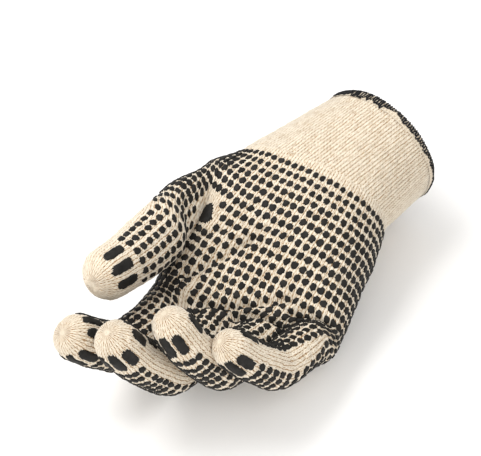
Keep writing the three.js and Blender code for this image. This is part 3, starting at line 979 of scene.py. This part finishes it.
@dataclass
class KnitSheet:
    """Knitted fabric laid on the form: grids of stitches that share one set of normals.

    Where the stitches flatten out, their relief tends to flat_relief. The lining is the fabric's
    inner face, which has fewer points and one even shade.
    """

    form: GloveForm
    relief_mm: float = 0.62
    samples_across: int = 6
    samples_along: int = 4
    course_mm: float = 2.15
    wall_mm: float = 1.7
    flat_relief: float = 0.6
    lining_step: int = 3
    lining_shade: float = 0.45
    points: list[Array] = field(default_factory=list)
    stitches: list[Array] = field(default_factory=list)
    gain: list[Array] = field(default_factory=list)
    crease: list[Array] = field(default_factory=list)
    joined: list[Array] = field(default_factory=list)
    faces: list[Array] = field(default_factory=list)
    groups: list[str] = field(default_factory=list)
    count: int = 0

    def add_grid(
        self, group: str, points: Array, stitches: Array,
        gain: Array | float, crease: Array | float, joined: Array | float, flipped: bool,
    ) -> None:
        """Adds one grid of points.

        Args:
            group: The piece that the grid belongs to.
            points: Rows of points in mm.
            stitches: Their places in wales and courses.
            gain: How much of the stitches' relief shows at each point.
            crease: Extra height in mm at each point.
            joined: How far wales are knitted together at each point, from 0 to 1.
            flipped: Whether the faces look the other way.
        """
        rows, columns = points.shape[:2]
        self.points.append(points.reshape(-1, 3))
        self.stitches.append(stitches.reshape(-1, 2))
        for kept, values in ((self.gain, gain), (self.crease, crease), (self.joined, joined)):
            kept.append(np.broadcast_to(values, (rows, columns)).ravel())
        self.faces.append(grid_faces(rows, columns, flipped) + self.count)
        self.groups.append(group)
        self.count += rows * columns

    def add_lobe(
        self, group: str, index: int, side: Side, start: float, end: float, wales: int
    ) -> None:
        """Adds one side of one digit, or of its part of the palm.

        Args:
            group: The piece that it belongs to.
            index: The digit.
            side: The palm or the back.
            start: The first station.
            end: The last station, or the digit's length for a closed tip.
            wales: Number of wales across.
        """
        radius = self.form.tip_radius
        across = np.linspace(0, 1, wales * self.samples_across + 1)
        round_from = DIGITS[index].length - radius
        straight_end = min(end, round_from)
        courses = max(round((straight_end - start) / self.course_mm), 1)
        straight = np.linspace(start, straight_end, courses * self.samples_along + 1)
        run = straight - start
        station = straight
        if end > round_from:
            steps = round(radius * math.pi / 2 / self.course_mm) * self.samples_along
            angle = np.linspace(0, math.pi / 2, steps + 1)[1:]
            station = np.concatenate([straight, round_from + radius * np.sin(angle)])
            run = np.concatenate([run, run[-1] + radius * angle])
        share, at = np.meshgrid(across, station, indexing="xy")
        points = self.form.surface(index, side, share, at)
        course = run * courses / (straight_end - start)
        stitches = np.meshgrid(across * wales, course, indexing="xy")
        crease = self.form.creases(index, side, share, at)
        # at the tip the stitches narrow, are knitted together in pairs and then flatten out
        shrink = np.sqrt(np.maximum(1 - (np.maximum(at - round_from, 0) / radius) ** 2, 0))
        gain = smooth(0.05, 0.3, shrink)
        joined = 1 - smooth(0.45, 0.6, shrink)
        back = side is Side.BACK
        self.add_grid(group, points, np.stack(stitches, -1), gain, crease, joined, back)

    def finish(self) -> tuple[PieceMesh, PieceMesh, dict[str, Array]]:
        """Raises the stitches and makes the lining.

        Returns:
            The outer mesh, the lining and the outer faces of each group.
        """
        grids = (self.points, self.faces, self.stitches, self.gain, self.crease, self.joined)
        points, faces, stitches, gain, crease, joined = (np.concatenate(kept) for kept in grids)
        normals = joined_normals(points, faces)
        # no two stitches are quite alike in place, height or pull
        wale = stitches[:, 0] + 0.13 * uneven(points, 3.1, 6)
        course = stitches[:, 1] + 0.2 * uneven(points, 3.7, 7)
        pair = stitch_relief(wale / 2, course)
        relief = stitch_relief(wale, course) * (1 - joined) + pair * joined
        relief *= 0.8 + 0.3 * stitch_random(wale, course)
        relief = self.flat_relief + (relief - self.flat_relief) * gain
        pull = 1 + 0.22 * uneven(points, 3, 5)
        loose = self.form.slack(points) + crease
        outer = points + normals * (loose + self.relief_mm * (relief * pull - 0.5))[:, None]
        groups = {}
        for group, grid in zip(self.groups, self.faces):
            groups[group] = np.concatenate([groups[group], grid]) if group in groups else grid
        lining = points - normals * self.wall_mm
        shade = np.full(len(points), self.lining_shade)
        return (
            PieceMesh(outer, faces, stitches, relief),
            PieceMesh(lining, self.lining_faces(), stitches, shade),
            groups,
        )

    def lining_faces(self) -> Array:
        """Makes the lining's faces over every few points of each grid, looking inwards.

        Returns:
            The faces as four point numbers each.
        """
        result = []
        start = 0
        for points, faces in zip(self.points, self.faces):
            columns = int(faces[0].max() - faces[0].min()) - 1
            rows = len(points) // columns
            i = np.unique(np.append(np.arange(0, rows, self.samples_along), rows - 1))
            j = np.unique(np.append(np.arange(0, columns, self.lining_step), columns - 1))
            number = start + i[:, None] * columns + j[None, :]
            corners = (number[:-1, :-1], number[1:, :-1], number[1:, 1:], number[:-1, 1:])
            quads = np.stack(corners, -1).reshape(-1, 4)
            outward = faces[0][1] - faces[0][0] == columns
            result.append(quads[:, ::-1] if outward else quads)
            start += len(points)
        return np.concatenate(result)


# ---- the glove's pieces ----


@dataclass
class KnitHand:
    """The knitted palm, back and digits, whose tubes start a little inside the palm's edge."""

    form: GloveForm
    knit: bpy.types.Material
    palm_samples: int = 5
    overlap: float = 1.2

    def build(self) -> None:
        """Builds the palm and back, and each digit's tube."""
        sheet = KnitSheet(self.form, samples_across=self.palm_samples)
        for index, digit in enumerate(DIGITS):
            for side in Side:
                sheet.add_lobe(side.name, index, side, 0, digit.base, digit.palm_wales)
        outer, lining, groups = sheet.finish()
        for side in Side:
            outer.faces = groups[side.name]
            outer.make(f"{side.name.lower()}_knit", self.knit, "knit", "hand_body")
        lining.make("hand_lining", self.knit, "knit", "hand_body")
        for index, digit in enumerate(DIGITS):
            tube = KnitSheet(self.form)
            start = digit.base - self.overlap
            for side in Side:
                tube.add_lobe(digit.name, index, side, start, digit.length, digit.tube_wales)
            outer, lining, _ = tube.finish()
            outer.make(f"{digit.name}_knit", self.knit, "knit", digit.name)
            lining.make(f"{digit.name}_lining", self.knit, "knit", digit.name)


@dataclass
class KnitCuff:
    """The knitted cuff, whose narrow wales run up to the hem."""

    form: GloveForm
    knit: bpy.types.Material
    wales: int = 124
    course_mm: float = 1.95
    relief_mm: float = 0.55
    samples: int = 5
    start: float = 0.03
    end: float = 1.004

    def build(self) -> None:
        """Builds the cuff and its lining."""
        sheet = KnitSheet(self.form, self.relief_mm, self.samples, course_mm=self.course_mm)
        courses = round(self.form.cuff_length * (1 - self.start) / self.course_mm)
        turn = np.linspace(0, 1, self.wales * self.samples + 1)
        share = np.linspace(self.start, self.end, courses * sheet.samples_along + 1)
        points = self.form.cuff(*np.meshgrid(turn, share, indexing="xy"))
        stitches = np.meshgrid(turn * self.wales, (share - self.start) * courses, indexing="xy")
        sheet.add_grid("cuff", points, np.stack(stitches, -1), 1, 0, 0, False)
        outer, lining, _ = sheet.finish()
        outer.make("cuff_knit", self.knit, "knit", "knit_cuff")
        lining.make("cuff_lining", self.knit, "knit", "knit_cuff")


@dataclass
class GripPrints:
    """The PVC prints: the field of dots, the bars near the fingertips and the drop at the thumb.

    Sizes are in mm. The dots' lengths and widths are shares of their diameter, and they grow from
    the cuff to where they are printed in full. Each bar holds a share across from the middle one,
    a step back from the tip, a length and a width. Each ring of a pad holds a share of its outline
    and a share of its height.

    The thumb is bare where the share across is below the first bare value, or below the second
    from thumb_bare_from on, or above the third. No dot lies within drop_clear of the drop's
    middle, or within bare_clear of the place that is bare_back behind it.
    """

    form: GloveForm
    pvc: bpy.types.Material
    dot_radius: float = 1.95
    dot_length: float = 1.04
    dot_width: float = 0.92
    least_dot: float = 0.8
    full_print: float = 32.0
    dot_height: float = 0.42
    base_lift: float = 0.3
    lumps: float = 0.16
    dot_pitch: float = 5.0
    most_dots: int = 48
    first_dot: float = 1.5
    front_bow: float = 2.5
    slip_across: float = 0.004
    slip_along: float = 0.12
    bar_field: float = 0.33
    bar_gap: float = 9.5
    tip_gap: float = 4
    bars: tuple[tuple[float, float, float, float], ...] = (
        (-0.21, 1.5, 12.4, 5.5), (0.0, 0.0, 13.4, 5.5), (0.21, 0.5, 12.4, 5.5),
    )
    thumb_bare: tuple[float, float, float] = (0.03, 0.17, 0.98)
    thumb_bare_from: float = 60
    drop_digit: int = INDEX
    drop_across: float = 0.29
    drop_at: float = 48.5
    drop_size: tuple[float, float] = (11.5, 8.6)
    drop_taper: float = -0.45
    drop_extra: float = 0.35
    drop_clear: float = 7.2
    bare_clear: float = 5.0
    bare_back: float = 7
    corners: int = 17
    ragged: float = 0.17
    rings: tuple[tuple[float, float], ...] = ((0.6, 0.97), (0.9, 0.75), (1.0, -0.6))

    def pads(
        self, places: list[tuple[int, Side, float, float]], outlines: Array, height: float
    ) -> PieceMesh:
        """Lays domed pads on the knit.

        Args:
            places: Digit, side, share across and station of each pad's middle.
            outlines: For each pad, corners as distances along and across the glove, in mm.
            height: The height of the pads over the knit.

        Returns:
            One mesh with all the pads.
        """
        count, corners = outlines.shape[:2]
        points = np.zeros((count, 2 + len(self.rings) * corners, 3))
        for index in range(len(DIGITS)):
            for side in Side:
                chosen = [i for i, place in enumerate(places) if place[:2] == (index, side)]
                if chosen:
                    middles = np.array([places[i][2:] for i in chosen])
                    points[chosen] = self.pad_points(index, side, middles, outlines[chosen], height)
        # point 0 is a pad's top and point 1 its foot, and the rings run between them
        step = np.arange(corners)
        after = (step + 1) % corners
        faces = [np.stack([0 * step, 2 + step, 2 + after], -1)]
        for ring in range(len(self.rings) - 1):
            low, high = 2 + ring * corners, 2 + (ring + 1) * corners
            faces.append(np.stack([low + step, high + step, high + after], -1))
            faces.append(np.stack([low + step, high + after, low + after], -1))
        last = 2 + (len(self.rings) - 1) * corners
        faces.append(np.stack([0 * step + 1, last + after, last + step], -1))
        pad_starts = np.arange(count) * points.shape[1]
        all_faces = np.concatenate(faces)[None] + pad_starts[:, None, None]
        flip = np.array([place[1] is Side.BACK for place in places])
        all_faces[flip] = all_faces[flip][:, :, ::-1]
        return PieceMesh(points.reshape(-1, 3), all_faces.reshape(-1, 3))

    def pad_points(
        self, index: int, side: Side, middles: Array, outlines: Array, height: float
    ) -> Array:
        """Lays the pads of one side of a digit on its knit.

        Args:
            index: The digit.
            side: The palm or the back.
            middles: The share across and the station of each pad's middle.
            outlines: For each pad, corners as distances along and across the glove, in mm.
            height: The height of the pads over the knit.

        Returns:
            For each pad its top, its foot and the rings' points, in mm.
        """
        step_across, step_along = 0.01, 0.5
        across, station = middles[:, 0], middles[:, 1]

        def surface(share: Array, at: Array) -> Array:
            """Returns points on this side of the digit."""
            return self.form.surface(index, side, share, at)

        over = surface(across + step_across, station) - surface(across - step_across, station)
        along = surface(across, station + step_along) - surface(across, station - step_along)
        per_across = 1 / np.linalg.norm(over / (2 * step_across), axis=-1)
        per_station = 1 / np.linalg.norm(along / (2 * step_along), axis=-1)
        # the top is at full height, and the foot is sunk into the knit
        shapes = [np.zeros((len(middles), 2, 2))]
        heights = [np.array([1.0, -0.5])]
        for scale, rise in self.rings:
            shapes.append(outlines * scale)
            heights.append(np.full(outlines.shape[1], rise))
        shape = np.concatenate(shapes, axis=1)
        rise = np.concatenate(heights)
        at = station[:, None] + shape[..., 0] * per_station[:, None]
        share = np.clip(across[:, None] + shape[..., 1] * per_across[:, None], 0, 1)
        points = surface(share, at)
        forward = surface(share, at + step_along) - points
        left, right = np.maximum(share - step_across, 0), np.minimum(share + step_across, 1)
        normal = unit(np.cross(forward, surface(right, at) - surface(left, at))) * side.value
        random = np.random.default_rng(11 + index)
        wobble = 1 + self.lumps * random.uniform(-1, 1, points.shape[:2])
        cloth = self.form.slack(points) + self.form.creases(index, side, share, at)
        over_form = cloth + self.base_lift + height * rise[None, :] * wobble
        return points + normal * over_form[..., None]

    def outline(
        self, count: int, length: float, width: float, seed: int, taper: float = 0.0
    ) -> Array:
        """Returns uneven rounded outlines, as the printed paste takes them on the stitches.

        Args:
            count: Number of outlines.
            length: Size along the glove.
            width: Size across it.
            seed: Which random outlines.
            taper: How much narrower the far end is.

        Returns:
            Outlines by corners by (along, across).
        """
        # the drop and the bars have smoother edges than the dots, and the bars squarer ends
        large, bar = length > 8, length > 12
        corners = 3 * self.corners if large else self.corners
        random = np.random.default_rng(seed)
        angle = np.linspace(0, 2 * math.pi, corners, endpoint=False)[None, :]
        ragged = 1 + random.uniform(-self.ragged, self.ragged, (count, corners))
        for waves in (2, 3, 4):
            swing = 0.05 * random.uniform(0.3, 1, (count, 1))
            ragged += swing * np.sin(waves * angle + random.uniform(0, 6.3, (count, 1)))
        if large:
            ragged = 1 + (ragged - 1) * 0.55
        power = 0.55 if bar else 0.9
        along = length / 2 * np.sign(np.cos(angle)) * np.abs(np.cos(angle)) ** power
        across = width / 2 * np.sign(np.sin(angle)) * np.abs(np.sin(angle)) ** power
        across = across * (1 - taper * along / (length / 2))
        return np.stack([along * ragged, across * ragged], -1)

    def dot_places(self, side: Side) -> list[tuple[int, Side, float, float]]:
        """Places the dots of one side in rows that follow the digits.

        Args:
            side: The palm or the back.

        Returns:
            Digit, side, share across and station of each dot.
        """
        places = []
        total = sum(digit.share for digit in DIGITS)
        before = 0
        random = np.random.default_rng(21 + side.value)
        low, far_low, high = self.thumb_bare
        for index, digit in enumerate(DIGITS):
            for shares in digit.dot_rows:
                barred = abs(shares[-1] - digit.bars[0]) < self.bar_field
                stop = digit.length - digit.bars[2] - (self.bar_gap if barred else self.tip_gap)
                for number in range(self.most_dots):
                    station = self.first_dot + number * self.dot_pitch
                    across = float(np.interp(station, digit.dot_stations, shares))
                    edge = (before + digit.share * across) / total
                    start = self.first_dot + self.front_bow * (1 - (2 * edge - 1) ** 2)
                    aside = random.normal() * self.slip_across
                    ahead = random.normal() * self.slip_along
                    place = (index, side, across + aside, station + ahead)
                    least = far_low if station > self.thumb_bare_from else low
                    bare = index == THUMB and not least <= across <= high
                    inside = start <= station + 0.01 and station <= stop
                    if inside and not bare and not self.near_drop(place):
                        places.append(place)
            before += digit.share
        return places

    def near_drop(self, place: tuple[int, Side, float, float]) -> bool:
        """Tells whether a dot would lie on the drop or on the bare knit between it and the cuff.

        Args:
            place: Digit, side, share across and station of the dot.

        Returns:
            Whether it would.
        """
        if place[1] is Side.BACK or place[0] > INDEX:
            return False
        dot = self.form.surface(*place)
        for back, clear in ((0, self.drop_clear), (self.bare_back, self.bare_clear)):
            at = self.drop_at - back
            middle = self.form.surface(self.drop_digit, Side.PALM, self.drop_across, at)
            if float(np.linalg.norm(middle - dot)) < clear:
                return True
        return False

    def build(self) -> None:
        """Builds the dots of each side, the bars and the drop."""
        for side in Side:
            places = self.dot_places(side)
            size = 2 * self.dot_radius
            lengths = size * self.dot_length, size * self.dot_width
            outlines = self.outline(len(places), *lengths, 31 + side.value)
            stations = np.array([place[3] for place in places])
            fill = smooth(self.first_dot, self.full_print, stations)
            outlines *= (self.least_dot + (1 - self.least_dot) * fill)[:, None, None]
            dots = self.pads(places, outlines, self.dot_height)
            dots.make(f"{side.name.lower()}_dots", self.pvc, "pvc_print")
        for index, digit in enumerate(DIGITS):
            for side in Side:
                middle = digit.bars[0 if side is Side.PALM else 1]
                for number, (aside, back, length, width) in enumerate(self.bars):
                    outline = self.outline(1, length, width, 50 + 10 * index + number)
                    place = (index, side, middle + aside, digit.length - digit.bars[2] - back)
                    bar = self.pads([place], outline, self.dot_height)
                    name = f"{digit.name}_{side.name.lower()}_bar_{number + 1}"
                    bar.make(name + "_print", self.pvc, "pvc_print", name)
        place = (self.drop_digit, Side.PALM, self.drop_across, self.drop_at)
        outline = self.outline(1, *self.drop_size, 91, self.drop_taper)
        drop = self.pads([place], outline, self.dot_height + self.drop_extra)
        drop.make("thumb_drop_print", self.pvc, "pvc_print", "thumb_drop")


@dataclass
class OverlockHem:
    """The dark overlocked edge: thread wrapped slantwise over the cuff's raw edge.

    Sizes are in mm. Of every so many loops, skip leaves out one. The spread tells how long the
    loops are round the edge: shares of the way round, then shares of the full length. The laps
    are shares along a loop, from inside the edge to its end outside, and the slants tell how many
    loops ahead each lap is. The nose is how far the edge is rounded outwards.
    """

    form: GloveForm
    knit: bpy.types.Material
    thread: bpy.types.Material
    wraps: int = 150
    skip: tuple[int, int] = (61, 12)
    band: float = 3.9
    thread_half: float = 0.47
    spread: tuple[tuple[float, ...], ...] = (
        (0, 0.06, 0.12, 0.25, 0.29, 0.32, 0.4, 0.5, 0.6, 1),
        (0.4, 0.7, 1.25, 1.2, 0.45, 1.0, 0.9, 0.45, 0.4, 0.4),
    )
    laps: tuple[float, ...] = (0, 0.3, 0.62, 0.75, 1)
    slants: tuple[float, ...] = (-0.6, 0, 0.5, 1.0, 1.5)
    sections: int = 20
    corners: int = 6
    wall: float = 2.3
    stand_off: float = 0.5
    rounding: float = 1.2
    nose: float = 0.8
    edge_columns: int = 241
    edge_shade: float = 0.55

    def path(self, turn: Array, reach: Array) -> Array:
        """Returns points on the wrapped edge.

        Args:
            turn: Shares of the way round.
            reach: Distance over the edge in mm, positive outside and negative inside.

        Returns:
            The points in mm.
        """
        outside = self.form.cuff(turn, np.abs(reach) / self.form.cuff_length)
        inward = unit(outside * np.array([0, -1, -1]))
        through = (1 - np.clip(reach / self.rounding, -1, 1)) / 2
        depth = self.wall * through - self.stand_off - self.form.slack(outside)
        lift = -self.stand_off * np.exp(-((reach / self.nose) ** 2))
        return outside + inward * depth[..., None] + np.stack([lift, 0 * lift, 0 * lift], -1)

    def loop(self, number: int, random: np.random.Generator) -> Array:
        """Makes the points of one loop of thread.

        Args:
            number: Which loop.
            random: The source of the loops' unevenness.

        Returns:
            Rings of points along the loop, in mm.
        """
        along = np.linspace(0, 1, self.sections)
        share = number / self.wraps
        long = self.band * random.uniform(0.7, 1.15) * np.interp(share, *self.spread)
        reach = np.interp(along, self.laps, (-0.8 * self.band, 0, long, long, 0.25 * long))
        offset = np.interp(along, self.laps, self.slants) + random.uniform(-0.25, 0.25)
        turn = (number + offset) / self.wraps
        middle = self.path(turn, reach)
        forward = unit(np.gradient(middle, axis=0))
        away = unit(self.path(turn + 0.002, reach) - self.path(turn - 0.002, reach))
        up = unit(np.cross(forward, away))
        away = np.cross(up, forward)
        up = up * np.sign((up * middle * np.array([0, 1, 1])).sum(-1, keepdims=True))
        angle = np.linspace(0, 2 * math.pi, self.corners, endpoint=False)[None, :, None]
        girth = self.thread_half * random.uniform(0.5, 1.05) * (1 - 0.3 * along**6)
        ring = away[:, None] * np.cos(angle) + up[:, None] * np.sin(angle) * 0.8
        raised = middle + up * np.interp(reach, (-1, 0.5), (0, 0.3))[:, None]
        return (raised[:, None] + ring * girth[:, None, None]).reshape(-1, 3)

    def build(self) -> None:
        """Builds the raw edge and the thread over it."""
        spans = ((5, 0.6, 7), (0.3, -0.3, 3), (-0.6, -5, 7))
        reach = np.concatenate([np.linspace(*span) for span in spans])
        turns, reaches = np.meshgrid(np.linspace(0, 1, self.edge_columns), reach, indexing="xy")
        points = self.path(turns, reaches)
        stitches = np.stack([turns * KnitCuff.wales, reaches / KnitCuff.course_mm], -1)
        shade = np.full(points.size // 3, self.edge_shade)
        faces = grid_faces(*points.shape[:2], True)
        edge = PieceMesh(points.reshape(-1, 3), faces, stitches.reshape(-1, 2), shade)
        edge.make("cuff_raw_edge", self.knit, "knit", "overlock_hem")
        random = np.random.default_rng(7)
        every, first = self.skip
        loops = [self.loop(i, random) for i in range(self.wraps) if i % every != first]
        i, j = np.meshgrid(np.arange(self.sections - 1), np.arange(self.corners), indexing="ij")
        ring, k = i * self.corners, (j + 1) % self.corners
        after = ring + self.corners
        quads = np.stack([ring + j, ring + k, after + k, after + j], -1).reshape(-1, 4)
        starts = np.arange(len(loops)) * self.sections * self.corners
        faces = np.concatenate([quads + start for start in starts])
        wraps = PieceMesh(np.concatenate(loops), faces)
        wraps.make("hem_thread", self.thread, "hem_thread", "overlock_hem")


# ---- the studio ----


@dataclass(frozen=True)
class Softbox:
    """A square soft light: its name, place and side in metres, and power in watts."""

    name: str
    place: tuple[float, float, float]
    size: float
    watts: float


@dataclass
class Studio:
    """The camera, the lights and the floor.

    The camera is given by the point that it turns about, in mm in the hand's frame, three angles
    in degrees, a distance in mm, and a focal length and a middle in pixels of the picture.
    """

    form: GloveForm
    aim: tuple[float, float, float] = (70, 0, 0)
    azimuth: float = 131.58
    elevation: float = 59.10
    roll: float = -13.205
    distance: float = 1200
    focal_px: float = 2370.9
    centre_px: tuple[float, float] = (10.94, 70.37)
    picture_px: int = 481
    softboxes: tuple[Softbox, ...] = (
        Softbox("key_softbox", (0.35, -0.45, 0.95), 0.6, 8.2),
        Softbox("fill_softbox", (0.5, 0.75, 0.8), 1.0, 5),
        Softbox("low_softbox", (0.95, 0.0, 0.35), 0.8, 2),
    )
    lit: tuple[float, float, float] = (0.11, 0, 0)
    air: float = 0.75
    floor_reach: float = 4.0
    floor_drop: float = 0.001

    def add_camera(self) -> None:
        """Adds the camera at the viewing angle of the photograph, aimed at the picture's middle."""
        a, e, q = (math.radians(v) for v in (self.azimuth, self.elevation, self.roll))
        towards = np.array([math.sin(a) * math.cos(e), -math.cos(a) * math.cos(e), math.sin(e)])
        level = unit(np.cross([0, 0, 1.0], towards))
        above = np.cross(towards, level)
        right = math.cos(q) * level + math.sin(q) * above
        up = -math.sin(q) * level + math.cos(q) * above
        place = np.array(self.aim) + towards * self.distance
        aside, down = (middle / self.focal_px for middle in self.centre_px)
        look = unit(-towards - right * aside + up * down)
        turn = self.form.turn
        place = turn @ place + np.array([self.form.cuff_length, 0, 0])
        back = -(turn @ look)
        side = unit(turn @ right - back * float((turn @ right) @ back))
        data = bpy.data.cameras.new("camera")
        data.sensor_fit = "HORIZONTAL"
        data.lens = self.focal_px * data.sensor_width / self.picture_px
        data.clip_end = 20
        camera = bpy.data.objects.new("camera", data)
        axes = Matrix(np.stack([side, np.cross(back, side), back], -1).tolist())
        camera.matrix_world = Matrix.Translation(Vector(place * MM)) @ axes.to_4x4()
        bpy.context.scene.collection.objects.link(camera)
        bpy.context.scene.camera = camera
        LOG.info("camera: lens %.1f mm", data.lens)

    def add_light(self, box: Softbox) -> None:
        """Adds a soft square light that faces the glove.

        Args:
            box: The light.
        """
        data = bpy.data.lights.new(box.name, "AREA")
        data.size = box.size
        data.energy = box.watts
        light = bpy.data.objects.new(box.name, data)
        place = Vector(box.place)
        faced = (place - Vector(self.lit)).to_track_quat("Z", "Y").to_matrix().to_4x4()
        light.matrix_world = Matrix.Translation(place) @ faced
        bpy.context.scene.collection.objects.link(light)
        LOG.info("%s: %.1f W", box.name, box.watts)

    def add_floor(self, under: float) -> None:
        """Adds the floor.

        Args:
            under: The height of the glove's lowest point in metres.
        """
        mesh = bpy.data.meshes.new("studio_floor")
        reach = self.floor_reach
        corners = [(-reach, -reach, 0), (reach, -reach, 0), (reach, reach, 0), (-reach, reach, 0)]
        mesh.from_pydata(corners, [], [(0, 1, 2, 3)])
        mesh.materials.append(PaintedFloor().build())
        floor = bpy.data.objects.new("studio_floor", mesh)
        floor.location.z = under - self.floor_drop
        bpy.context.scene.collection.objects.link(floor)
        floor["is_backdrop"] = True

    def build(self, under: float) -> None:
        """Builds the studio.

        Args:
            under: The height of the glove's lowest point in metres.
        """
        scene = bpy.context.scene
        self.add_camera()
        world = bpy.data.worlds.new("studio_air")
        world.use_nodes = True
        background = world.node_tree.nodes["Background"]
        background.inputs[0].default_value = (1, 1, 1, 1)
        background.inputs[1].default_value = self.air
        scene.world = world
        scene.view_settings.view_transform = "Standard"
        for box in self.softboxes:
            self.add_light(box)
        self.add_floor(under)


def plain(bounds: object) -> list[list[float]]:
    """Returns the corners of a box as plain lists of numbers."""
    return [[float(value) for value in corner] for corner in bounds]


def main() -> None:
    """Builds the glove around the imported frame."""
    logging.basicConfig(level=logging.INFO, format="%(name)s %(message)s")
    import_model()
    cad = plain(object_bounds())
    form = GloveForm()
    knit = StringKnit().build()
    pvc = PrintedPvc().build()
    KnitCuff(form, knit).build()
    KnitHand(form, knit).build()
    GripPrints(form, pvc).build()
    OverlockHem(form, knit, OverlockThread().build()).build()
    Studio(form).build(cad[0][2])


if __name__ == "__main__":
    main()
